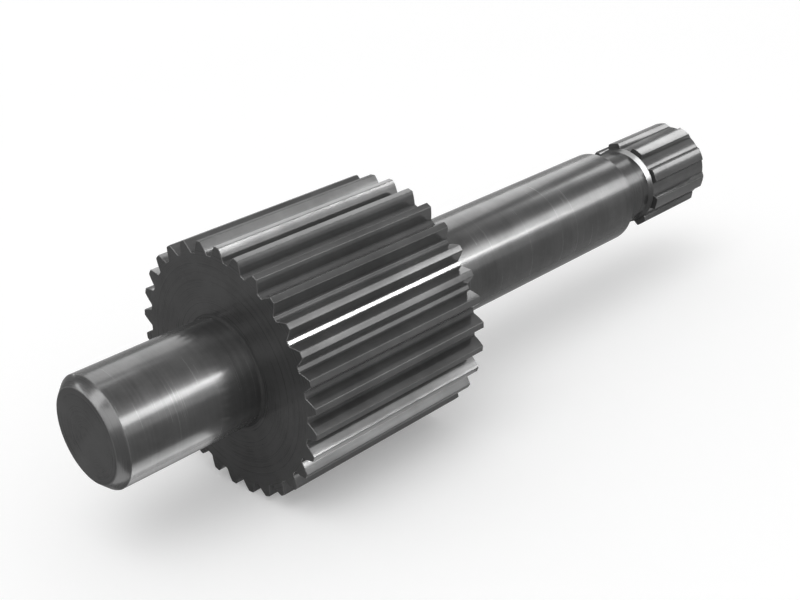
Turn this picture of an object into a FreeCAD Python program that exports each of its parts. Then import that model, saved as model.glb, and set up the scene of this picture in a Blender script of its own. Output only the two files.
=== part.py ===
import FreeCAD, Part
import math
import os
import Sketcher
from FreeCAD import Placement, Rotation, Vector

# Pump drive shaft, turned and hobbed from one bar. It lies along +X, from the front journal's end
# face at X = 0 to the end of the output spline. It rests on two teeth of the drive gear, so one
# tooth gap points straight down and another straight up.

NODE = "drive_shaft"

# How near an edge lies to the place it is looked for at, in millimetres
MATCH = 1e-4

# The least change of volume that counts as a cut or an addition, in cubic millimetres
LEAST_CHANGE = 0.001

# name, value, what it measures (millimetres, or degrees for an angle)
SIZES = [
    ("journal_diameter", 20, "front bearing seat"),
    ("journal_length", 27.6, "front end face to the gear's front face"),
    ("journal_chamfer", 1.6, "lead-in on the front end, 45 degrees"),
    ("shoulder_fillet", 0.4, "radius where a bearing seat meets the gear"),
    ("gear_width", 40, "face width of the drive gear"),
    ("gear_teeth", 30, "teeth on the drive gear"),
    ("gear_module", 1.5, "pitch diameter per tooth"),
    ("gear_pressure_angle", 30, "degrees"),
    ("gear_addendum", 0.95, "tooth height above the pitch circle"),
    ("gear_dedendum", 1.25, "gap depth below the pitch circle"),
    ("gear_backlash", 0.12, "thinning of each tooth on the pitch circle"),
    ("gear_root_fillet", 0.3, "radius in the corners of a gap"),
    ("shaft_diameter", 20, "long bearing and seal seat"),
    ("shaft_length", 63.7, "gear's rear face to the neck"),
    ("neck_length", 9.7, "relief between the shaft and the spline"),
    ("neck_depth", 0.6, "neck's surface below the spline's root"),
    ("neck_cone_length", 1.0, "coned shoulder that rises to the spline's root"),
    ("spline_length", 20, "output spline with its lead-in"),
    ("spline_teeth", 9, "teeth on the output spline"),
    ("spline_module", 2, "pitch diameter per tooth"),
    ("spline_pressure_angle", 20, "degrees"),
    ("spline_addendum", 0.72, "tooth height above the pitch circle"),
    ("spline_dedendum", 0.43, "gap depth below the pitch circle"),
    ("spline_backlash", 0.02, "thinning of each tooth on the pitch circle"),
    ("spline_root_fillet", 0.2, "radius in the corners of a gap"),
    ("spline_chamfer", 1.6, "lead-in on the rear end, 45 degrees"),
    ("cutter_overrun", 0.5, "how far a cutter passes outside the metal"),
]

# Places along the shaft and radii that follow from the sizes
STATIONS = [
    ("gear_end", "journal_length + gear_width"),
    ("shaft_end", "gear_end + shaft_length"),
    ("spline_start", "shaft_end + neck_length"),
    ("rear_end", "spline_start + spline_length"),
    ("cone_start", "spline_start - neck_cone_length"),
    ("neck_radius", "spline_root_radius - neck_depth"),
    ("clear_radius", "max(shaft_diameter / 2; spline_tip_radius) + cutter_overrun"),
]


def tooth_formulas(teeth):
    """What follows from the sizes of one toothed length, as formulas for the sheet.

    An involute flank leans away from its radius by acos(base / radius). The angle that the flank
    has unrolled there is tan(lean) - lean, and the gap's half angle widens with it.
    """
    unroll = "(tan({0}) - {0} * pi / 180 deg) * 180 deg / pi"
    pitch_half_gap = "90 deg / {0}_teeth + 90 deg / pi * {0}_backlash / {0}_pitch_radius"
    rows = [
        ("pitch_radius", "{0}_module * {0}_teeth / 2"),
        ("root_radius", "{0}_pitch_radius - {0}_dedendum"),
        ("tip_radius", "{0}_pitch_radius + {0}_addendum"),
        ("edge_radius", "{0}_tip_radius + cutter_overrun"),
        ("base_radius", "{0}_pitch_radius * cos({0}_pressure_angle)"),
        ("flank_radius", "{0}_pitch_radius * sin({0}_pressure_angle)"),
        ("pitch_lean", "{0}_pressure_angle * 1 deg"),
        ("root_lean", "acos(min(1; {0}_base_radius / {0}_root_radius))"),
        ("edge_lean", "acos({0}_base_radius / {0}_edge_radius)"),
    ]
    for place in ("root", "edge"):
        half_gap = " - ".join((unroll.format("{0}_%s_lean" % place), unroll.format("{0}_pitch_lean")))
        rows.append((place + "_half_gap", pitch_half_gap + " + " + half_gap))
        rows.append((place + "_half_width", "{0}_%s_radius * sin({0}_%s_half_gap)" % (place, place)))
    return [(teeth + "_" + name, formula.format(teeth)) for name, formula in rows]


def fill_sheet():
    """The sheet of driving sizes, and below them the sizes that follow."""
    rows = [(name, str(value), note) for name, value, note in SIZES]
    for name, formula in tooth_formulas("gear") + tooth_formulas("spline") + STATIONS:
        rows.append((name, "=" + formula, "follows from the sizes above"))
    for number, (name, content, note) in enumerate(rows, 1):
        sheet.set("A%d" % number, name)
        sheet.set("B%d" % number, content)
        sheet.setAlias("B%d" % number, name)
        sheet.set("C%d" % number, note)
    doc.recompute()


def worth(formula):
    """The value of a formula now, which a sketch is drawn with before the sheet drives it."""
    return float(sheet.evalExpression(formula))


def add_sketch(name, role):
    """An empty sketch on the body's own origin plane with this role."""
    sketch = body.newObject("Sketcher::SketchObject", name)
    plane = next(part for part in body.Origin.OriginFeatures if part.Role == role)
    sketch.AttachmentSupport = [(plane, "")]
    sketch.MapMode = "FlatFace"
    return sketch


def bind(sketch, name, formula, kind, *where):
    """Add a named dimension to a sketch, driven by the sheet."""
    number = sketch.addConstraint(Sketcher.Constraint(kind, *where, worth(formula)))
    sketch.renameConstraint(number, name)
    sketch.setExpression("Constraints." + name, formula)


def draw_outline(sketch, corners):
    """A closed outline of straight lines, for turning about the sketch's horizontal axis.

    Each corner is (name, distance along the axis, radius), both as formulas. A radius of None lies
    on the axis, and a distance of None lies on the front end face.
    """
    points = [Vector(*(0 if formula is None else worth(formula) for formula in corner[1:]), 0)
              for corner in corners]
    for this, that in zip(points, points[1:] + points[:1]):
        sketch.addGeometry(Part.LineSegment(this, that), False)
    for number, (name, along, radius) in enumerate(corners):
        before = (number - 1) % len(corners)
        sketch.addConstraint(Sketcher.Constraint("Coincident", before, 2, number, 1))
        if along is None:
            sketch.addConstraint(Sketcher.Constraint("PointOnObject", number, 1, -2))
        else:
            bind(sketch, name + "_along", along, "DistanceX", -1, 1, number, 1)
        if radius is None:
            sketch.addConstraint(Sketcher.Constraint("PointOnObject", number, 1, -1))
        else:
            bind(sketch, name + "_radius", radius, "DistanceY", -1, 1, number, 1)


def draw_gap(sketch, teeth):
    """The gap between two teeth, straight above the axis: root arc, outer arc and two flanks.

    Each flank is an arc through its ends with the involute's radius of curvature at the pitch circle.
    """
    def given(name):
        return "Sizes.%s_%s" % (teeth, name)

    def corner(place, side):
        radius, half_width = worth(given(place + "_radius")), worth(given(place + "_half_width"))
        return Vector(side * half_width, math.sqrt(radius ** 2 - half_width ** 2), 0)

    def bulge(start, end):
        chord = end - start
        curve_radius = worth(given("flank_radius"))
        depth = curve_radius - math.sqrt(curve_radius ** 2 - chord.Length ** 2 / 4)
        return (start + end) / 2 + chord.cross(Vector(0, 0, 1)).normalize() * depth

    left_foot, right_foot = corner("root", -1), corner("root", 1)
    left_edge, right_edge = corner("edge", -1), corner("edge", 1)
    root, outer, right, left = (sketch.addGeometry(arc, False) for arc in (
        Part.Arc(right_foot, Vector(0, worth(given("root_radius")), 0), left_foot),
        Part.Arc(right_edge, Vector(0, worth(given("edge_radius")), 0), left_edge),
        Part.Arc(right_edge, bulge(right_edge, right_foot), right_foot),
        Part.Arc(left_foot, bulge(left_foot, left_edge), left_edge)))
    for arc in (root, outer):
        sketch.addConstraint(Sketcher.Constraint("Coincident", arc, 3, -1, 1))
    for joint in ((root, 2, left, 1), (left, 2, outer, 2), (outer, 1, right, 1), (right, 2, root, 1)):
        sketch.addConstraint(Sketcher.Constraint("Coincident", *joint))
    sketch.addConstraint(Sketcher.Constraint("Equal", left, right))
    bind(sketch, "root_radius", given("root_radius"), "Radius", root)
    bind(sketch, "edge_radius", given("edge_radius"), "Radius", outer)
    bind(sketch, "flank_radius", given("flank_radius"), "Radius", right)
    bind(sketch, "foot_right", given("root_half_width"), "DistanceX", -1, 1, root, 1)
    bind(sketch, "foot_left", given("root_half_width"), "DistanceX", root, 2, -1, 1)
    bind(sketch, "edge_right", given("edge_half_width"), "DistanceX", -1, 1, outer, 1)
    bind(sketch, "edge_left", given("edge_half_width"), "DistanceX", outer, 2, -1, 1)


def add_feature(kind, name, cuts, **properties):
    """A feature at the body's tip, with its volume checked against the one before it."""
    doc.recompute()
    before = body.Shape.Volume if body.Tip else 0
    feature = body.newObject("PartDesign::" + kind, name)
    for key, value in properties.items():
        setattr(feature, key, value)
    body.Tip = feature
    doc.recompute()
    change = body.Shape.Volume - before
    if (change < 0) != cuts or abs(change) < LEAST_CHANGE:
        raise RuntimeError("%s changed the volume by %.4f" % (name, change))
    return feature


def edges_where(feature, test):
    """A feature and the names of its edges that pass a test, for a fillet or a chamfer."""
    names = ["Edge%d" % number for number, edge in enumerate(feature.Shape.Edges, 1) if test(edge)]
    return (feature, names)


def rim(station, radius):
    """A test for the circular edge at this place along the shaft, with this radius."""
    def test(edge):
        return (isinstance(edge.Curve, Part.Circle) and abs(edge.Curve.Radius - radius) < MATCH
                and abs(edge.Curve.Center.x - station) < MATCH)
    return test


def corner_line(radius):
    """A test for the straight edges along the shaft at this distance from its axis."""
    def test(edge):
        distances = [math.hypot(vertex.Point.y, vertex.Point.z) for vertex in edge.Vertexes]
        return (isinstance(edge.Curve, Part.Line)
                and all(abs(distance - radius) < MATCH for distance in distances))
    return test


def cut_teeth(teeth, start, turn):
    """Cut one gap from this place to the rear end, repeat it around the axis and round its corners."""
    title = teeth.capitalize()
    count, fillet = "Sizes.%s_teeth" % teeth, "Sizes.%s_root_fillet" % teeth
    sketch = add_sketch(title + "GapOutline", "YZ_Plane")
    sketch.AttachmentOffset = Placement(Vector(), Rotation(Vector(0, 0, 1), 1))
    sketch.setExpression(".AttachmentOffset.Base.z", start)
    sketch.setExpression(".AttachmentOffset.Rotation.Angle", turn)
    draw_gap(sketch, teeth)
    gap = add_feature("Pocket", title + "Gap", True, Profile=sketch, Type=1, Reversed=True)
    pattern = add_feature("PolarPattern", title + "Gaps", True, Originals=[gap],
                          Axis=(sketch, ["N_Axis"]), Angle=360, Occurrences=int(worth(count)))
    pattern.setExpression("Occurrences", count)
    corners = edges_where(pattern, corner_line(worth("Sizes.%s_root_radius" % teeth)))
    fillets = add_feature("Fillet", title + "RootFillets", False, Base=corners, Radius=worth(fillet))
    fillets.setExpression("Radius", fillet)


doc = FreeCAD.newDocument("PumpDriveShaft")
sheet = doc.addObject("Spreadsheet::Sheet", "Sizes")
fill_sheet()
body = doc.addObject("PartDesign::Body", "DriveShaft")
body.Label = NODE

# The turned blank: journal, gear disc, long shaft and spline stub
blank_outline = add_sketch("BlankOutline", "XZ_Plane")
draw_outline(blank_outline, [
    ("front_centre", None, None),
    ("front_rim", None, "Sizes.journal_diameter / 2"),
    ("gear_front_foot", "Sizes.journal_length", "Sizes.journal_diameter / 2"),
    ("gear_front_rim", "Sizes.journal_length", "Sizes.gear_tip_radius"),
    ("gear_rear_rim", "Sizes.gear_end", "Sizes.gear_tip_radius"),
    ("gear_rear_foot", "Sizes.gear_end", "Sizes.shaft_diameter / 2"),
    ("shaft_rim", "Sizes.spline_start", "Sizes.shaft_diameter / 2"),
    ("spline_foot", "Sizes.spline_start", "Sizes.spline_tip_radius"),
    ("rear_rim", "Sizes.rear_end", "Sizes.spline_tip_radius"),
    ("rear_centre", "Sizes.rear_end", None),
])
blank = add_feature("Revolution", "Blank", False, Profile=blank_outline,
                    ReferenceAxis=(blank_outline, ["H_Axis"]), Angle=360)

# The relieved neck, with a coned shoulder up to the spline's root
neck_outline = add_sketch("NeckOutline", "XZ_Plane")
draw_outline(neck_outline, [
    ("shaft_foot", "Sizes.shaft_end", "Sizes.neck_radius"),
    ("cone_foot", "Sizes.cone_start", "Sizes.neck_radius"),
    ("cone_rim", "Sizes.spline_start", "Sizes.spline_root_radius"),
    ("spline_clear", "Sizes.spline_start", "Sizes.clear_radius"),
    ("shaft_clear", "Sizes.shaft_end", "Sizes.clear_radius"),
])
neck = add_feature("Groove", "Neck", True, Profile=neck_outline,
                   ReferenceAxis=(neck_outline, ["H_Axis"]), Angle=360)

# Radii where the bearing seats meet the gear, and the lead-ins on both ends
journal_radius, shaft_radius = worth("Sizes.journal_diameter / 2"), worth("Sizes.shaft_diameter / 2")
front_foot = rim(worth("Sizes.journal_length"), journal_radius)
rear_foot = rim(worth("Sizes.gear_end"), shaft_radius)
shoulders = add_feature("Fillet", "ShoulderFillets", False, Radius=worth("Sizes.shoulder_fillet"),
                        Base=edges_where(neck, lambda edge: front_foot(edge) or rear_foot(edge)))
shoulders.setExpression("Radius", "Sizes.shoulder_fillet")
front_lead = add_feature("Chamfer", "FrontLeadIn", True, Size=worth("Sizes.journal_chamfer"),
                         Base=edges_where(shoulders, rim(0, journal_radius)))
front_lead.setExpression("Size", "Sizes.journal_chamfer")
rear_rim = rim(worth("Sizes.rear_end"), worth("Sizes.spline_tip_radius"))
rear_lead = add_feature("Chamfer", "RearLeadIn", True, Size=worth("Sizes.spline_chamfer"),
                        Base=edges_where(front_lead, rear_rim))
rear_lead.setExpression("Size", "Sizes.spline_chamfer")

# Teeth: the gear's gaps start straight up, and one of the spline's lines up with a gear tooth
cut_teeth("gear", "0 mm", "0 deg")
cut_teeth("spline", "Sizes.spline_start * 1 mm", "180 deg / Sizes.gear_teeth")

doc.recompute()
failed = [item.Name for item in doc.Objects if "Invalid" in item.State or "Error" in item.State]
if failed or body.Shape.isNull() or not body.Shape.isValid() or len(body.Shape.Solids) != 1:
    raise RuntimeError("the shaft did not build: %s" % failed)
os.makedirs("parts", exist_ok=True)
body.Shape.exportStep("parts/%s.step" % NODE)
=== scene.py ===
"""Looks of a pump drive shaft: one turned, hobbed and ground piece of steel, lying on its gear.

Lengths are in metres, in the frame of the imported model: +X runs along the shaft from its front
end, +Z is up, and one tooth gap of the drive gear points straight down.
"""

import logging
import math
from collections.abc import Callable
from dataclasses import dataclass, field
from enum import Enum

import bmesh
import bpy
from mathutils import Matrix, Vector


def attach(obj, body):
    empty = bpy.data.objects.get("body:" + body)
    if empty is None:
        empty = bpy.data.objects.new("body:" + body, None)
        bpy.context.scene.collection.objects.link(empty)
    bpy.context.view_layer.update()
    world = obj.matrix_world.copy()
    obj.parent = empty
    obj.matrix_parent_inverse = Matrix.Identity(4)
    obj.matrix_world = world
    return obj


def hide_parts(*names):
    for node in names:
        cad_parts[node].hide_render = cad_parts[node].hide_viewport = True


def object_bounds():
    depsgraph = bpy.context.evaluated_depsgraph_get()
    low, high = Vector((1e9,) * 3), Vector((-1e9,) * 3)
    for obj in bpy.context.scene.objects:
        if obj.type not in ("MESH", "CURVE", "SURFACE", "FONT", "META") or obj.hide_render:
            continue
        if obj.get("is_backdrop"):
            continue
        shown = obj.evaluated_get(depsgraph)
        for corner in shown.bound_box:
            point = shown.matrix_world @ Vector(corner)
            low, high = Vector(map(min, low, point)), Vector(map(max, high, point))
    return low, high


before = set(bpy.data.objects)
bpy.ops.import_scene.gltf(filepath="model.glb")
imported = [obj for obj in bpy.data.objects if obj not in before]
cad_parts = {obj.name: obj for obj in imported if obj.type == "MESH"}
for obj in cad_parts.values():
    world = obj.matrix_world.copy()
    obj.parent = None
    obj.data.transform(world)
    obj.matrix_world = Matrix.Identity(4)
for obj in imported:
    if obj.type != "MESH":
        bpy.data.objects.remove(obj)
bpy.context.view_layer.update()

MM = 0.001
NODE = "drive_shaft"
LOG = logging.getLogger(NODE)

# An outline is the (y, z) of its points, and a ring holds their numbers in the skin.
Outline = list[tuple[float, float]]
Ring = list[int]
# A place is where a point is along X: the same for a whole ring, or worked out from its radius.
Place = float | Callable[[float], float]


class Zone(Enum):
    """The finish of one stretch of the shaft's skin."""

    GROUND = 0
    TURNED = 1
    HOBBED = 2
    EDGE = 3
    # CORNER: the hollow corners at the gear, painted a darker matt grey as painted shade in the crease.
    CORNER = 4
    # ROOT: the root fillets deep in the tooth gaps, painted a lighter matt grey as painted light.
    ROOT = 5


@dataclass
class Skin:
    """The shaft's skin while it is made, ring after ring from the front end to the rear end.

    Each ring runs from +Y towards +Z about the axis, so that the faces between a ring and the
    next one look outwards. Points that are nearer to each other than weld become one.
    """

    points: list[tuple[float, float, float]] = field(default_factory=list)
    faces: list[tuple[int, ...]] = field(default_factory=list)
    zones: list[Zone] = field(default_factory=list)
    weld: float = 0.0005 * MM

    def ring(self, outline: Outline, place: Place) -> Ring:
        """Add the points of an outline.

        Args:
            outline: (y, z) of each point.
            place: Where the ring is along X, or a function that gives it from a point's radius.

        Returns:
            The numbers of the new points.
        """
        first = len(self.points)
        for y, z in outline:
            x = place(math.hypot(y, z)) if callable(place) else place
            self.points.append((x, y, z))
        return list(range(first, len(self.points)))

    def add_face(self, zone: Zone, *corners: int) -> None:
        """Add one face with its finish."""
        self.faces.append(corners)
        self.zones.append(zone)

    def join(self, before: Ring, after: Ring, zone: Zone) -> Ring:
        """Close the stretch between two rings with as many points.

        Args:
            before: The ring nearer the front end, along the skin.
            after: The next ring.
            zone: The finish of the faces.

        Returns:
            The second ring, to go on from.
        """
        count = len(before)
        for here in range(count):
            there = (here + 1) % count
            self.add_face(zone, before[here], before[there], after[there], after[here])
        return after

    def stitch(self, before: Ring, after: Ring, zone: Zone) -> Ring:
        """Close the stretch between two rings that have different numbers of points.

        Args:
            before: The ring nearer the front end, along the skin.
            after: The next ring.
            zone: The finish of the faces.

        Returns:
            The second ring, to go on from.
        """
        start = self.angle(before[0])
        turned = [self.angle(number, start) for number in after]
        lead = turned.index(min(turned))
        far_side = after[lead:] + after[:lead]
        near = [self.angle(number, start) for number in before] + [math.tau]
        far = turned[lead:] + turned[:lead] + [turned[lead] + math.tau]
        i = j = 0
        while i < len(before) or j < len(after):
            here, there = before[i % len(before)], far_side[j % len(after)]
            if j == len(after) or (i < len(before) and near[i + 1] <= far[j + 1]):
                i += 1
                self.add_face(zone, here, before[i % len(before)], there)
            else:
                j += 1
                self.add_face(zone, here, far_side[j % len(after)], there)
        return after

    def follow(self, before: Ring, stations: list[tuple[float, float, Zone]]) -> Ring:
        """Go on with round rings that have as many points.

        Args:
            before: The ring to go on from.
            stations: (x, radius, finish of the faces up to there) of each ring.

        Returns:
            The last ring.
        """
        for x, radius, zone in stations:
            before = self.join(before, self.ring(circle(radius), x), zone)
        return before

    def cap(self, ring: Ring, zone: Zone, front: bool) -> None:
        """Close an end with faces that meet on the axis.

        Args:
            ring: The ring to close.
            zone: The finish of the faces.
            front: True for the front end, which looks along -X.
        """
        middle = len(self.points)
        self.points.append((self.points[ring[0]][0], 0.0, 0.0))
        for here, there in zip(ring, ring[1:] + ring[:1]):
            corners = (middle, there, here) if front else (here, there, middle)
            self.add_face(zone, *corners)

    def angle(self, number: int, start: float = 0.0) -> float:
        """A point's angle about the axis past the start, less than one turn."""
        _, y, z = self.points[number]
        return (math.atan2(z, y) - start) % math.tau

    def mesh(self, name: str, smooth_below: float) -> bpy.types.Mesh:
        """The finished mesh.

        Args:
            name: The mesh's name.
            smooth_below: Edges that turn by less than this, in degrees, are shaded smooth.

        Returns:
            The mesh, whose faces name their finish by its number in Zone.
        """
        mesh = bpy.data.meshes.new(name)
        mesh.from_pydata(self.points, [], self.faces)
        mesh.polygons.foreach_set("material_index", [zone.value for zone in self.zones])
        mesh.polygons.foreach_set("use_smooth", [True] * len(self.faces))
        work = bmesh.new()
        work.from_mesh(mesh)
        bmesh.ops.remove_doubles(work, verts=work.verts, dist=self.weld)
        bmesh.ops.dissolve_degenerate(work, edges=work.edges, dist=self.weld)
        work.to_mesh(mesh)
        work.free()
        mesh.set_sharp_from_angle(angle=math.radians(smooth_below))
        return mesh


def circle(radius: float, count: int = 240) -> Outline:
    """Points (y, z) evenly spaced on a circle about the axis."""
    turns = [math.tau * number / count for number in range(count)]
    return [(radius * math.cos(turn), radius * math.sin(turn)) for turn in turns]


def moved_to(outline: Outline, radius: Callable[[float], float]) -> Outline:
    """An outline whose points are moved in or out.

    Args:
        outline: (y, z) of each point.
        radius: A function that gives a point's new radius from its old one.

    Returns:
        The moved outline, with each point at the angle that it had.
    """
    lengths = [math.hypot(y, z) for y, z in outline]
    return [(y * radius(length) / length, z * radius(length) / length)
            for (y, z), length in zip(outline, lengths)]


def shrunk(outline: Outline, depth: float, longest: float = 2.0) -> Outline:
    """An outline moved into the metal.

    Args:
        outline: (y, z) of each point, running from +Y towards +Z.
        depth: How far each side moves, square to itself.
        longest: How many times as far a corner may move.

    Returns:
        The moved outline, with as many points.
    """
    moved = []
    for number, (y, z) in enumerate(outline):
        before, after = outline[number - 1], outline[(number + 1) % len(outline)]
        here = Vector((y - before[0], z - before[1])).normalized()
        onward = Vector((after[0] - y, after[1] - z)).normalized()
        middle = (here + onward).normalized()
        shift = depth / max(1.0 / longest, middle.dot(here))
        moved.append((y - middle.y * shift, z + middle.x * shift))
    return moved


def hollow(face: float, radius: float, fillet: float, steps: int = 5,
           lead: float = 0.05 * MM) -> list[tuple[float, float]]:
    """The hollow corner between a round seat and a face that looks along -X.

    Args:
        face: Where the face is along X.
        radius: The seat's radius.
        fillet: The corner's own radius.
        steps: How many flat facets the corner has.
        lead: How far before and behind the corner its own points start and end.

    Returns:
        (x, radius) from the seat to the face.
    """
    turns = [math.pi / 2 * number / steps for number in range(steps + 1)]
    arc = [(face - fillet * (1 - math.sin(turn)), radius + fillet * (1 - math.cos(turn)))
           for turn in turns]
    return [(face - fillet - lead, radius), *arc, (face, radius + fillet + lead)]


@dataclass(frozen=True)
class ToothForm:
    """The involute teeth of one toothed length, seen along the axis.

    Lengths are in metres and angles in degrees. Slope_step is the share of the pitch radius over
    which a flank's slope is taken.
    """

    teeth: int
    module: float
    pressure_angle: float
    addendum: float
    dedendum: float
    backlash: float
    root_fillet: float
    edge_break: float
    root_steps: int = 2
    fillet_steps: int = 5
    flank_steps: int = 7
    tip_steps: int = 2
    slope_step: float = 1e-5

    @property
    def pitch_radius(self) -> float:
        """Radius on which teeth and gaps are as wide, but for the backlash."""
        return self.module * self.teeth / 2

    @property
    def root_radius(self) -> float:
        """Radius of the gaps' floors."""
        return self.pitch_radius - self.dedendum

    @property
    def tip_radius(self) -> float:
        """Radius of the teeth's tops."""
        return self.pitch_radius + self.addendum

    def unrolled(self, radius: float) -> float:
        """The turn of the involute up to a radius.

        Args:
            radius: Where the involute has got to.

        Returns:
            The turn since the base circle, in radians.
        """
        base = self.pitch_radius * math.cos(math.radians(self.pressure_angle))
        lean = math.acos(min(1.0, base / radius))
        return math.tan(lean) - lean

    def flank(self, radius: float) -> Vector:
        """A point of one flank of a gap whose middle points along the first axis.

        Args:
            radius: The point's radius.

        Returns:
            The point.
        """
        half_gap = (math.pi / 2 / self.teeth + self.backlash / 2 / self.pitch_radius
                    + self.unrolled(radius) - self.unrolled(self.pitch_radius))
        return Vector((radius * math.cos(half_gap), radius * math.sin(half_gap)))

    def fillet_middle(self, radius: float) -> Vector:
        """The middle of the root fillet.

        Args:
            radius: Where the fillet touches the flank.

        Returns:
            The middle, on the gap's side of the flank.
        """
        step = self.pitch_radius * self.slope_step
        along = (self.flank(radius + step) - self.flank(radius)).normalized()
        return self.flank(radius) + Vector((along.y, -along.x)) * self.root_fillet

    def fillet_contact(self, halvings: int = 40) -> float:
        """Find where the root fillet meets the flank.

        Args:
            halvings: How often the search halves the range that it looks in.

        Returns:
            The radius of that place.
        """
        low, high = self.root_radius, self.pitch_radius
        for _ in range(halvings):
            middle = (low + high) / 2
            if self.fillet_middle(middle).length < self.root_radius + self.root_fillet:
                low = middle
            else:
                high = middle
        return low

    def half_gap(self) -> list[Vector]:
        """Half of one gap's outline.

        Returns:
            Points from the middle of the gap's floor to the middle of the next tooth's top.
        """
        contact = self.fillet_contact()
        centre = self.fillet_middle(contact)
        foot = centre.normalized() * self.root_radius
        foot_angle = math.atan2(foot.y, foot.x)
        points = [on_arc(self.root_radius, foot_angle * number / self.root_steps)
                  for number in range(self.root_steps)]
        spoke, last_spoke = foot - centre, self.flank(contact) - centre
        turn = -spoke.angle_signed(last_spoke)
        points += [centre + Matrix.Rotation(turn * number / self.fillet_steps, 2) @ spoke
                   for number in range(self.fillet_steps)]
        rise = self.tip_radius - self.edge_break - contact
        points += [self.flank(contact + rise * number / self.flank_steps)
                   for number in range(self.flank_steps + 1)]
        corner = self.flank(self.tip_radius)
        start = math.atan2(corner.y, corner.x) + self.edge_break / self.tip_radius
        end = math.pi / self.teeth
        points += [on_arc(self.tip_radius, start + (end - start) * number / self.tip_steps)
                   for number in range(self.tip_steps + 1)]
        return points

    def outline(self, gap_angle: float) -> Outline:
        """The whole outline.

        Args:
            gap_angle: Where one gap points, in degrees from +Y towards +Z.

        Returns:
            (y, z) of each point, once round.
        """
        half = self.half_gap()
        gap = [Vector((point.x, -point.y)) for point in reversed(half[1:-1])] + half
        points = []
        for number in range(self.teeth):
            turn = Matrix.Rotation(math.radians(gap_angle) + math.tau * number / self.teeth, 2)
            points += [tuple(turn @ point) for point in gap]
        return points

    def along_teeth(self, skin: Skin, before: Ring, after: Ring) -> Ring:
        """Close the length between two outlines, and set apart the root fillets and broken edges.

        Args:
            skin: The skin so far.
            before: The outline's ring nearer the front end.
            after: The outline's other ring.

        Returns:
            The second ring.
        """
        first = len(skin.zones)
        skin.join(before, after, Zone.HOBBED)
        fillet_top = self.root_steps + self.fillet_steps
        flank_top = fillet_top + self.flank_steps
        floor_middle = flank_top + self.tip_steps
        for number in range(len(before)):
            step = number % (len(before) // self.teeth) - floor_middle
            # A face counts its steps up from the middle of its gap's floor, whichever flank it is on.
            step_up = max(step, -1 - step)
            if step_up == flank_top:
                skin.zones[first + number] = Zone.EDGE
            elif self.root_steps <= step_up < fillet_top:
                # The root fillets take the finish that paints light into the gaps' floors.
                skin.zones[first + number] = Zone.ROOT
        return after


def on_arc(radius: float, angle: float) -> Vector:
    """The point at this radius and angle."""
    return Vector((radius * math.cos(angle), radius * math.sin(angle)))


@dataclass(frozen=True)
class FrontJournal:
    """The front bearing seat, with its lead-in and the hollow corner at the gear."""

    radius: float = 10.0 * MM
    length: float = 27.6 * MM
    lead_in: float = 1.6 * MM
    shoulder: float = 0.4 * MM
    edge_break: float = 0.08 * MM

    def build(self, skin: Skin) -> Ring:
        """Add the front end, the lead-in, the seat and its hollow corner.

        Args:
            skin: The skin so far, which is empty.

        Returns:
            The ring where the corner meets the gear's front face.
        """
        end_radius, small = self.radius - self.lead_in, self.edge_break
        ring = skin.ring(circle(end_radius - small), 0.0)
        skin.cap(ring, Zone.TURNED, front=True)
        corner = hollow(self.length, self.radius, self.shoulder)
        return skin.follow(ring, [
            (small, end_radius + small, Zone.EDGE),
            (self.lead_in - small, self.radius - small, Zone.TURNED),
            (self.lead_in + small, self.radius, Zone.EDGE),
            (*corner[0], Zone.GROUND),
            # The hollow corner's faces take the painted-shade finish.
            *((x, radius, Zone.CORNER) for x, radius in corner[1:]),
        ])


@dataclass(frozen=True)
class DriveGear:
    """The spur gear that the shaft drives."""

    width: float = 40.0 * MM
    gap_angle: float = 90.0
    edge_break: float = 0.09 * MM
    web_inset: float = 0.72 * MM
    form: ToothForm = ToothForm(
        teeth=30, module=1.5 * MM, pressure_angle=30.0, addendum=0.95 * MM, dedendum=1.25 * MM,
        backlash=0.12 * MM, root_fillet=0.3 * MM, edge_break=0.07 * MM)

    def build(self, skin: Skin, ring: Ring, start: float) -> Ring:
        """Add the front face, the teeth and the rear face.

        Args:
            skin: The skin so far.
            ring: The ring where the front face starts.
            start: Where the front face is along X.

        Returns:
            The ring where the rear face's flat web starts, inside the teeth.
        """
        outline = self.form.outline(self.gap_angle)
        face_outline = shrunk(outline, self.edge_break)
        web = moved_to(outline, lambda radius: self.form.root_radius - self.web_inset)
        end = start + self.width
        ring = skin.stitch(ring, skin.ring(web, start), Zone.TURNED)
        ring = skin.join(ring, skin.ring(face_outline, start), Zone.TURNED)
        ring = skin.join(ring, skin.ring(outline, start + self.edge_break), Zone.EDGE)
        ring = self.form.along_teeth(skin, ring, skin.ring(outline, end - self.edge_break))
        ring = skin.join(ring, skin.ring(face_outline, end), Zone.EDGE)
        return skin.join(ring, skin.ring(web, end), Zone.TURNED)


@dataclass(frozen=True)
class RearSeat:
    """The long bearing and seal seat behind the gear, and the relieved neck after it."""

    length: float = 63.7 * MM
    radius: float = 10.0 * MM
    shoulder: float = 0.4 * MM
    neck_radius: float = 7.97 * MM
    neck_length: float = 9.7 * MM
    cone_length: float = 1.0 * MM
    edge_break: float = 0.08 * MM

    def build(self, skin: Skin, ring: Ring, start: float) -> Ring:
        """Add the hollow corner, the seat, the step down and the neck.

        Args:
            skin: The skin so far.
            ring: The ring inside the gear's teeth, on its rear face.
            start: Where the gear's rear face is along X.

        Returns:
            The ring at the foot of the neck's cone.
        """
        corner = [(2 * start - x, radius)
                  for x, radius in reversed(hollow(start, self.radius, self.shoulder))]
        first_x, first_radius = corner[0]
        ring = skin.stitch(ring, skin.ring(circle(first_radius), first_x), Zone.TURNED)
        end, small = start + self.length, self.edge_break
        return skin.follow(ring, [
            # The hollow corner's faces take the painted-shade finish.
            *((x, radius, Zone.CORNER) for x, radius in corner[1:]),
            (end - small, self.radius, Zone.GROUND),
            (end, self.radius - small, Zone.EDGE),
            (end, self.neck_radius, Zone.TURNED),
            (end + self.neck_length - self.cone_length, self.neck_radius, Zone.TURNED),
        ])


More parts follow.
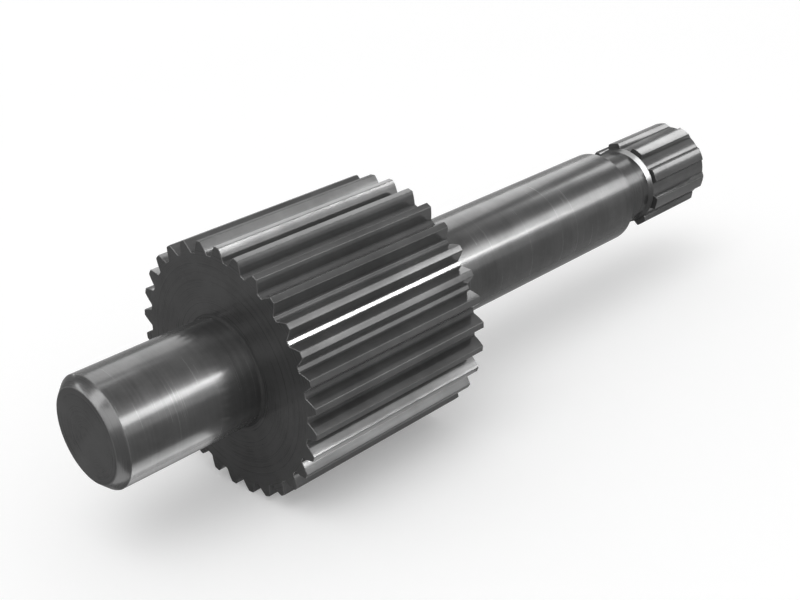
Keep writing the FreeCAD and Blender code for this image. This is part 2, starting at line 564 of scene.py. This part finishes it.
@dataclass(frozen=True)
class OutputSpline:
    """The splined end that the coupling slides onto."""

    length: float = 20.0 * MM
    lead_in: float = 1.6 * MM
    gap_angle: float = 96.0
    edge_break: float = 0.06 * MM
    form: ToothForm = ToothForm(
        teeth=9, module=2.0 * MM, pressure_angle=20.0, addendum=0.72 * MM, dedendum=0.43 * MM,
        backlash=0.02 * MM, root_fillet=0.2 * MM, edge_break=0.05 * MM,
        root_steps=5, flank_steps=5, tip_steps=4)

    def build(self, skin: Skin, ring: Ring, start: float) -> None:
        """Add the cone, the teeth with their lead-in, and the rear end.

        Args:
            skin: The skin so far.
            ring: The ring at the foot of the neck's cone.
            start: Where the teeth start along X.
        """
        outline = self.form.outline(self.gap_angle)
        root, small, end = self.form.root_radius, self.edge_break, start + self.length
        end_radius = self.form.tip_radius - self.lead_in
        floor = moved_to(outline, lambda radius: root)
        face_outline = moved_to(shrunk(outline, small), lambda radius: max(radius, root))
        ring = skin.stitch(ring, skin.ring(floor, start), Zone.TURNED)
        ring = skin.join(ring, skin.ring(face_outline, start), Zone.TURNED)
        ring = skin.join(ring, skin.ring(outline, start + small), Zone.EDGE)
        ring = self.form.along_teeth(
            skin, ring, skin.ring(outline, lambda radius: end + end_radius - radius - small))
        lead_in = moved_to(outline, lambda radius: radius - small)
        ring = skin.join(ring, skin.ring(lead_in, lambda radius: end + end_radius - radius), Zone.EDGE)
        rim = moved_to(outline, lambda radius: end_radius + small)
        ring = skin.join(ring, skin.ring(rim, end - small), Zone.TURNED)
        last = moved_to(outline, lambda radius: end_radius - small)
        ring = skin.join(ring, skin.ring(last, end), Zone.EDGE)
        skin.cap(ring, Zone.TURNED, front=False)


class Signal:
    """A number that changes over a surface. Python's operators on it add Math nodes."""

    def __init__(self, board: "NodeBoard", socket: bpy.types.NodeSocket) -> None:
        """Wrap one output of a node."""
        self.board = board
        self.socket = socket

    def __add__(self, other: "Signal | float") -> "Signal":
        """This plus the other."""
        return self.board.math("ADD", self, other)

    def __radd__(self, other: float) -> "Signal":
        """The other plus this."""
        return self.board.math("ADD", other, self)

    def __sub__(self, other: "Signal | float") -> "Signal":
        """This less the other."""
        return self.board.math("SUBTRACT", self, other)

    def __rsub__(self, other: float) -> "Signal":
        """The other less this."""
        return self.board.math("SUBTRACT", other, self)

    def __mul__(self, other: "Signal | float") -> "Signal":
        """This times the other."""
        return self.board.math("MULTIPLY", self, other)

    def __rmul__(self, other: float) -> "Signal":
        """The other times this."""
        return self.board.math("MULTIPLY", other, self)

    def __truediv__(self, other: "Signal | float") -> "Signal":
        """This over the other."""
        return self.board.math("DIVIDE", self, other)

    def __rtruediv__(self, other: float) -> "Signal":
        """The other over this."""
        return self.board.math("DIVIDE", other, self)

    def between(self, low: float, high: float) -> "Signal":
        """0 below low, 1 above high and an even rise from one to the other."""
        return self.board.signal("ShaderNodeMapRange", {"clamp": True},
                                 {"Value": self, "From Min": low, "From Max": high})


SocketValue = Signal | bpy.types.NodeSocket | float | tuple[float, ...]


class NodeBoard:
    """The nodes of one material, or of the world."""

    def __init__(self, owner: bpy.types.Material | bpy.types.World) -> None:
        """Clear away the nodes of a material or a world.

        Args:
            owner: The material or the world.
        """
        owner.use_nodes = True
        self.owner = owner
        self.tree = owner.node_tree
        self.tree.nodes.clear()

    @classmethod
    def of_material(cls, name: str) -> "NodeBoard":
        """A board for a new material."""
        return cls(bpy.data.materials.new(name))

    def finish(self, shader: bpy.types.Node) -> None:
        """Link the last shader to the output.

        Args:
            shader: The node whose first output is what shows.
        """
        is_world = isinstance(self.owner, bpy.types.World)
        output = self.node("ShaderNodeOutputWorld" if is_world else "ShaderNodeOutputMaterial")
        self.tree.links.new(shader.outputs[0], output.inputs["Surface"])

    def node(self, kind: str, settings: dict[str, object] | None = None,
             sockets: dict[str | int, SocketValue] | None = None) -> bpy.types.Node:
        """Add a node.

        Args:
            kind: The node's type.
            settings: Its own settings, which are set first.
            sockets: The value or the link of each input, by the input's name or number.

        Returns:
            The node.
        """
        made = self.tree.nodes.new(kind)
        for name, value in (settings or {}).items():
            setattr(made, name, value)
        for name, value in (sockets or {}).items():
            if isinstance(value, Signal):
                value = value.socket
            if isinstance(value, bpy.types.NodeSocket):
                self.tree.links.new(value, made.inputs[name])
            else:
                made.inputs[name].default_value = value
        return made

    def signal(self, kind: str, settings: dict[str, object],
               sockets: dict[str | int, SocketValue]) -> Signal:
        """Add a node and wrap its first output, ready for more maths."""
        return Signal(self, self.node(kind, settings, sockets).outputs[0])

    def math(self, operation: str, *values: SocketValue) -> Signal:
        """Add a Math node on these values."""
        return self.signal("ShaderNodeMath", {"operation": operation}, dict(enumerate(values)))

    def vector_math(self, operation: str, *values: SocketValue) -> bpy.types.Node:
        """Add a Vector Math node on these values."""
        return self.node("ShaderNodeVectorMath", {"operation": operation}, dict(enumerate(values)))

    def mixed(self, share: Signal, low: SocketValue, high: SocketValue) -> bpy.types.NodeSocket:
        """The colour between two colours, where share says how much of the second one shows."""
        mix = self.node("ShaderNodeMix", {"data_type": "RGBA"}, {"Factor": share, "A": low, "B": high})
        return mix.outputs["Result"]


def grey_colour(level: float) -> tuple[float, float, float, float]:
    """A grey for a colour socket."""
    return level, level, level, 1.0


@dataclass(frozen=True)
class SteelFinish:
    """Dark hardened steel with the marks of the last cut, under a thin film of oil.

    The marks run around the axis, or lengthwise on the teeth. Their height follows a coordinate
    that grows along the axis and, by radial_share, away from it, so that faces, cones and round
    lengths all carry them. A share of the surface is bare metal and the rest is a matt dark skin,
    which keeps its grey where there is nothing to mirror.
    """

    name: str
    grey: float
    roughness: float
    # The marks: how far apart, how deep and how long, and the pitch and depth of the tool's feed.
    line_spacing: float
    line_depth: float
    feed: float
    feed_depth: float
    run: float = 40.0 * MM
    lengthwise: bool = False
    radial_share: float = 1.37
    # The broad marks among them: how many for one fine mark, and how high beside it.
    broad_scale: float = 0.13
    broad_height: float = 1.5
    # Light and dark stains: their two widths, and the shares of patches, mottle and broad marks.
    patch: float = 9.0 * MM
    mottle: float = 1.8 * MM
    stain_shares: tuple[float, float, float] = (0.5, 0.2, 0.3)
    grey_spread: float = 0.16
    grey_range: tuple[float, float] = (0.35, 0.65)
    # Smooth and rough places, and the shares of fine marks, broad marks and patches in them.
    wear_shares: tuple[float, float, float] = (0.4, 0.3, 0.3)
    roughness_spread: float = 0.07
    wear_range: tuple[float, float] = (0.3, 0.7)
    # What the light meets: bare metal, the skin's own shine, and a film of oil that varies.
    metal_share: float = 0.45
    edge_tint: float = 1.0
    skin_gloss: float = 0.0
    oil: float = 0.1
    oil_roughness: float = 0.12
    thinnest_oil: float = 0.5
    # The noises' own settings.
    fine_detail: float = 3.0
    coarse_detail: float = 2.0
    noise_roughness: float = 0.6

    def noise(self, board: NodeBoard, where: SocketValue, scale: float, detail: float) -> Signal:
        """Noise around 0.5.

        Args:
            board: The material's nodes.
            where: The place that the noise is read at.
            scale: How often it changes over a length of 1.
            detail: How many finer layers it has.

        Returns:
            The noise.
        """
        return board.signal("ShaderNodeTexNoise", {"noise_dimensions": "3D"}, {
            "Vector": where, "Scale": scale, "Detail": detail, "Roughness": self.noise_roughness})

    def build(self) -> bpy.types.Material:
        """Make the material.

        Returns:
            The material.
        """
        board = NodeBoard.of_material(self.name)
        place = board.node("ShaderNodeTexCoord").outputs["Object"]
        x, y, z = (Signal(board, part)
                   for part in board.node("ShaderNodeSeparateXYZ", None, {"Vector": place}).outputs)
        across = board.vector_math("MULTIPLY", place, (0.0, 1.0, 1.0)).outputs["Vector"]
        radius = Signal(board, board.vector_math("LENGTH", across).outputs["Value"])
        along = x + radius * self.radial_share

        step, side_step = self.line_spacing, self.run
        if self.lengthwise:
            step, side_step = side_step, step
        stretched = board.node("ShaderNodeCombineXYZ", None, {
            "X": along / step, "Y": y / side_step, "Z": z / side_step}).outputs["Vector"]
        lines = self.noise(board, stretched, 1.0, self.fine_detail)
        broad_lines = self.noise(board, stretched, self.broad_scale, self.coarse_detail)
        patches = self.noise(board, place, 1.0 / self.patch, self.fine_detail)
        mottle = self.noise(board, place, 1.0 / self.mottle, self.coarse_detail)

        rise = board.math("PINGPONG", along, self.feed / 2) / (self.feed / 2)
        height = ((lines + broad_lines * self.broad_height) * self.line_depth
                  + rise * rise * self.feed_depth)
        bump = board.node("ShaderNodeBump", None, {"Strength": 1.0, "Distance": 1.0, "Height": height})

        of_patches, of_mottle, of_broad = self.stain_shares
        shade = of_patches * patches + of_mottle * mottle + of_broad * broad_lines
        colour = board.mixed(shade.between(*self.grey_range),
                             grey_colour(self.grey * (1.0 - self.grey_spread)),
                             grey_colour(self.grey * (1.0 + self.grey_spread)))
        of_lines, of_broad, of_patches = self.wear_shares
        worn = of_lines * lines + of_broad * broad_lines + of_patches * patches
        wear = worn.between(*self.wear_range) - 0.5
        board.finish(board.node("ShaderNodeBsdfPrincipled", None, {
            "Base Color": colour,
            "Metallic": self.metal_share,
            "Specular IOR Level": self.skin_gloss,
            "Roughness": self.roughness + wear * (2.0 * self.roughness_spread),
            "Specular Tint": grey_colour(self.edge_tint),
            "Coat Weight": self.oil * (self.thinnest_oil + patches.between(*self.wear_range)),
            "Coat Roughness": self.oil_roughness,
            "Normal": bump.outputs["Normal"]}))
        return board.owner


FINISHES = {
    Zone.GROUND: SteelFinish("ground_steel", grey=0.064, roughness=0.24, line_spacing=0.09 * MM,
                             line_depth=0.0005 * MM, feed=1.7 * MM, feed_depth=0.0004 * MM,
                             broad_height=0.9),
    Zone.TURNED: SteelFinish("turned_steel", grey=0.055, roughness=0.29, line_spacing=0.12 * MM,
                             line_depth=0.0014 * MM, feed=0.35 * MM, feed_depth=0.0008 * MM,
                             metal_share=0.38, edge_tint=0.55, grey_spread=0.08, broad_height=0.9),
    Zone.HOBBED: SteelFinish("hobbed_steel", grey=0.093, roughness=0.15, line_spacing=0.15 * MM,
                             line_depth=0.0004 * MM, feed=1.25 * MM, feed_depth=0.0006 * MM,
                             radial_share=0.05, lengthwise=True, metal_share=0.35),
    Zone.EDGE: SteelFinish("worn_edges", grey=0.070, roughness=0.50, line_spacing=0.4 * MM,
                           line_depth=0.001 * MM, feed=2.0 * MM, feed_depth=0.0, metal_share=0.20, oil=0.0),
    # The hollow corners are painted a darker matt grey that does not mirror: painted shade in the crease
    # between seat and gear.
    Zone.CORNER: SteelFinish("corner_painted_shade", grey=0.052, roughness=0.60, line_spacing=0.3 * MM,
                             line_depth=0.002 * MM, feed=2.0 * MM, feed_depth=0.0,
                             metal_share=0.0, oil=0.0),
    # The root fillets are painted a lighter matt grey that does not mirror: painted light that lifts the
    # shade deep in the tooth gaps.
    Zone.ROOT: SteelFinish("root_fillets_painted_light", grey=0.085, roughness=0.60, line_spacing=0.3 * MM,
                           line_depth=0.001 * MM, feed=2.0 * MM, feed_depth=0.0,
                           metal_share=0.0, oil=0.0),
}


@dataclass(frozen=True)
class DriveShaft:
    """The whole shaft, which is one piece of steel."""

    name: str = "shaft_steel"
    journal: FrontJournal = FrontJournal()
    gear: DriveGear = DriveGear()
    seat: RearSeat = RearSeat()
    spline: OutputSpline = OutputSpline()
    smooth_below: float = 25.0

    def build(self) -> bpy.types.Object:
        """Make the piece from the front end to the rear end.

        Returns:
            The piece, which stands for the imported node.
        """
        gear_start = self.journal.length
        seat_start = gear_start + self.gear.width
        spline_start = seat_start + self.seat.length + self.seat.neck_length
        skin = Skin()
        ring = self.journal.build(skin)
        ring = self.gear.build(skin, ring, gear_start)
        ring = self.seat.build(skin, ring, seat_start)
        self.spline.build(skin, ring, spline_start)
        piece = bpy.data.objects.new(self.name, skin.mesh(self.name, self.smooth_below))
        bpy.context.scene.collection.objects.link(piece)
        for zone in Zone:
            piece.data.materials.append(FINISHES[zone].build())
        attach(piece, "root")
        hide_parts(NODE)
        return piece


def add_area_lamp(name: str, sides: tuple[float, float], radiance: float, place: Matrix,
                  lights_all: bool = False, spread: float = 180.0) -> None:
    """Add a flat lamp that the camera doesn't see.

    Args:
        name: The lamp's name.
        sides: The lengths of its two sides.
        radiance: What the steel mirrors of it. A lamp with a narrow spread shows brighter.
        place: Where it stands. It shines along its own -Z.
        lights_all: Whether it lights matt surfaces too.
        spread: The angle that it shines into, in degrees.
    """
    data = bpy.data.lights.new(name, "AREA")
    data.shape = "RECTANGLE"
    data.size, data.size_y = sides
    data.spread = math.radians(spread)
    data.energy = radiance * math.pi * data.size * data.size_y
    lamp = bpy.data.objects.new(name, data)
    bpy.context.scene.collection.objects.link(lamp)
    lamp.matrix_world = place
    lamp.visible_camera = False
    lamp.visible_diffuse = lights_all


@dataclass(frozen=True)
class Softbox:
    """A flat lamp that looks at the shaft's middle.

    Azimuth is the turn from +X towards +Y and elevation the height above the floor. Both, and the
    width and height that the shaft sees, are in degrees. Roll turns the lamp about its line of
    sight. Radiance is what the steel mirrors. Only a lamp that lights all also lights matt
    surfaces, so that the others leave the floor as it is.
    """

    name: str
    azimuth: float
    elevation: float
    width: float
    height: float
    radiance: float
    roll: float = 0.0
    lights_all: bool = False

    def build(self, middle: Vector, distance: float) -> None:
        """Add the lamp.

        Args:
            middle: What the lamp looks at.
            distance: How far away it stands.
        """
        width, height = (2 * distance * math.tan(math.radians(seen / 2))
                         for seen in (self.width, self.height))
        azimuth, elevation = math.radians(self.azimuth), math.radians(self.elevation)
        out = Vector((math.cos(azimuth) * math.cos(elevation), math.sin(azimuth) * math.cos(elevation),
                      math.sin(elevation)))
        place = (Matrix.Translation(middle + out * distance)
                 @ out.to_track_quat("Z", "Y").to_matrix().to_4x4()
                 @ Matrix.Rotation(math.radians(self.roll), 4, "Z"))
        add_area_lamp(self.name, (width, height), self.radiance, place, self.lights_all)


@dataclass(frozen=True)
class FloorPanel:
    """A small lamp that lies on the floor, looks up and only shows in the steel above it.

    X and y are the place of its middle, and length and width its sides along X and Y.
    """

    name: str
    x: float
    y: float
    length: float
    width: float
    radiance: float
    spread: float = 90.0
    clearance: float = 0.5 * MM

    def build(self, floor_height: float) -> None:
        """Add the lamp.

        Args:
            floor_height: How high the floor is.
        """
        place = (Matrix.Translation((self.x, self.y, floor_height + self.clearance))
                 @ Matrix.Rotation(math.pi, 4, "X"))
        add_area_lamp(self.name, (self.length, self.width), self.radiance, place, spread=self.spread)


@dataclass(frozen=True)
class Studio:
    """A pale floor, white surroundings, softboxes and panels on the floor.

    One broad lamp and the surroundings light everything softly. The other lamps stand all round
    and only show in the steel, as its bright streaks, and so do the panels, which lie under the
    front end and beside the gear. The floor is lifted to white where it is seen, and more so far
    off, where the broad lamp's light ends.
    """

    floor_grey: float = 0.8
    floor_lift: float = 0.25
    far_lift: float = 0.40
    lift_range: tuple[float, float] = (0.3, 2.5)
    world_fill: float = 0.75
    floor_reach: float = 6.0
    floor_sides: int = 96
    distance: float = 3.0
    # Azimuth, elevation, width, height and radiance follow each name.
    softboxes: tuple[Softbox, ...] = (
        Softbox("top_light", 200.0, 65.0, 40.0, 40.0, 1.6, lights_all=True),
        Softbox("right_strip", -49.5, 22.6, 18.0, 2.4, 70.0, roll=-23.0),
        Softbox("right_key", -65.0, 24.0, 16.0, 13.5, 20.0),
        Softbox("right_wide", -50.0, 26.0, 34.0, 22.0, 3.8, roll=44.0),
        Softbox("right_low", -57.0, 4.0, 22.0, 14.0, 3.2),
        Softbox("rear_right", -26.0, 19.0, 36.0, 17.0, 10.2, roll=-16.0),
        Softbox("rear_small", 6.0, 34.0, 16.0, 11.0, 12.8, roll=-54.0),
        Softbox("rear_left", 45.0, 36.0, 29.0, 34.0, 5.1, roll=17.0),
        Softbox("far_low", 85.0, 13.0, 20.0, 13.0, 26.0, roll=12.0),
        Softbox("front_wide", -110.0, 32.0, 39.0, 39.0, 13.0),
        Softbox("front_tall", -102.0, 48.0, 20.0, 60.0, 44.0, roll=12.0),
        Softbox("front_low", -158.0, 22.0, 60.0, 28.0, 8.2, roll=30.0),
        Softbox("left_tall", 166.0, 38.0, 20.0, 48.0, 17.5, roll=-15.0),
        Softbox("left_low", 134.0, 18.0, 30.0, 6.0, 24.0),
        Softbox("overhead", 105.0, 80.0, 47.0, 32.0, 13.0, roll=30.0),
    )
    # X, y, length, width and radiance follow each name.
    panels: tuple[FloorPanel, ...] = (
        FloorPanel("end_panel", -14.5 * MM, -4.0 * MM, 23.0 * MM, 16.0 * MM, 3.2, spread=130.0),
        FloorPanel("journal_panel", 15.0 * MM, -15.0 * MM, 24.0 * MM, 12.0 * MM, 3.4),
        FloorPanel("under_journal", 15.0 * MM, -3.0 * MM, 24.0 * MM, 11.0 * MM, 1.1),
        FloorPanel("far_journal_panel", 15.0 * MM, 15.0 * MM, 24.0 * MM, 12.0 * MM, 3.4),
        FloorPanel("gear_panel", 55.0 * MM, -24.0 * MM, 46.0 * MM, 10.0 * MM, 1.5),
        FloorPanel("far_gear_panel", 55.0 * MM, 24.0 * MM, 46.0 * MM, 10.0 * MM, 2.0),
    )

    def seen(self, board: NodeBoard) -> Signal:
        """Tell sight from light.

        Args:
            board: The nodes of the surface.

        Returns:
            1 where the camera, a reflection or glass sees the surface, 0 where it lights others.
        """
        path = board.node("ShaderNodeLightPath").outputs
        mirrored = board.math("MAXIMUM", path["Is Glossy Ray"], path["Is Transmission Ray"])
        return board.math("MAXIMUM", path["Is Camera Ray"], mirrored)

    def add_floor(self, middle: Vector, low: float) -> None:
        """Add the floor.

        Args:
            middle: The object's middle.
            low: The height that the object rests at.
        """
        bpy.ops.mesh.primitive_circle_add(
            vertices=self.floor_sides, radius=self.floor_reach, fill_type="NGON",
            location=(middle.x, middle.y, low))
        floor = bpy.context.object
        floor.name = "floor"
        board = NodeBoard.of_material("pale_floor")
        matt = board.node("ShaderNodeBsdfDiffuse", None, {"Color": grey_colour(self.floor_grey)})
        place = board.node("ShaderNodeTexCoord").outputs["Object"]
        away = Signal(board, board.vector_math("LENGTH", place).outputs["Value"])
        lift_colour = board.mixed(
            away.between(*self.lift_range), grey_colour(self.floor_lift), grey_colour(self.far_lift))
        lift = board.node("ShaderNodeEmission", None, {"Color": lift_colour, "Strength": self.seen(board)})
        board.finish(board.node("ShaderNodeAddShader", None, {0: matt.outputs[0], 1: lift.outputs[0]}))
        floor.data.materials.append(board.owner)
        floor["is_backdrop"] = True

    def add_surroundings(self) -> None:
        """Add the white world, which lights less than it shows."""
        world = bpy.data.worlds.new("white_surroundings")
        bpy.context.scene.world = world
        board = NodeBoard(world)
        board.finish(board.node("ShaderNodeBackground", None, {
            "Color": grey_colour(1.0),
            "Strength": self.world_fill + self.seen(board) * (1.0 - self.world_fill)}))

    def build(self, low: Vector, high: Vector) -> None:
        """Add the floor, the surroundings, the lamps and the panels.

        Args:
            low: The object's lowest corner.
            high: The object's highest corner.
        """
        middle = (low + high) / 2
        self.add_floor(middle, low.z)
        self.add_surroundings()
        for softbox in self.softboxes:
            softbox.build(middle, self.distance)
        for panel in self.panels:
            panel.build(low.z)


@dataclass(frozen=True)
class PhotoCamera:
    """The camera at the photograph's viewing angle.

    The photograph shows the part turned about its own axis from how it rests on its gear, so the
    camera is turned about that axis with it. Its azimuth, elevation and place are those before
    that turn, and the lens is in millimetres.
    """

    azimuth: float = 45.05
    elevation: float = 28.39
    part_turn: float = 6.0
    place: tuple[float, float, float] = (-80.79 * MM, -150.32 * MM, 112.66 * MM)
    lens: float = 56.57

    def build(self) -> None:
        """Add the camera and make it the scene's own."""
        data = bpy.data.cameras.new("photo_camera")
        data.lens = self.lens
        data.clip_start = 1.0 * MM
        camera = bpy.data.objects.new("photo_camera", data)
        bpy.context.scene.collection.objects.link(camera)
        aim = (Matrix.Rotation(math.radians(-self.azimuth), 4, "Z")
               @ Matrix.Rotation(math.radians(90.0 - self.elevation), 4, "X"))
        camera.matrix_world = (Matrix.Rotation(math.radians(self.part_turn), 4, "X")
                               @ Matrix.Translation(self.place) @ aim)
        bpy.context.scene.camera = camera


def main() -> None:
    """Build the shaft, the light and the camera."""
    logging.basicConfig(level=logging.INFO, format="%(message)s")
    bpy.context.scene.view_settings.view_transform = "Standard"
    shaft = DriveShaft().build()
    LOG.info("%s: %d faces", shaft.name, len(shaft.data.polygons))
    Studio().build(*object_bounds())
    PhotoCamera().build()


if __name__ == "__main__":
    main()
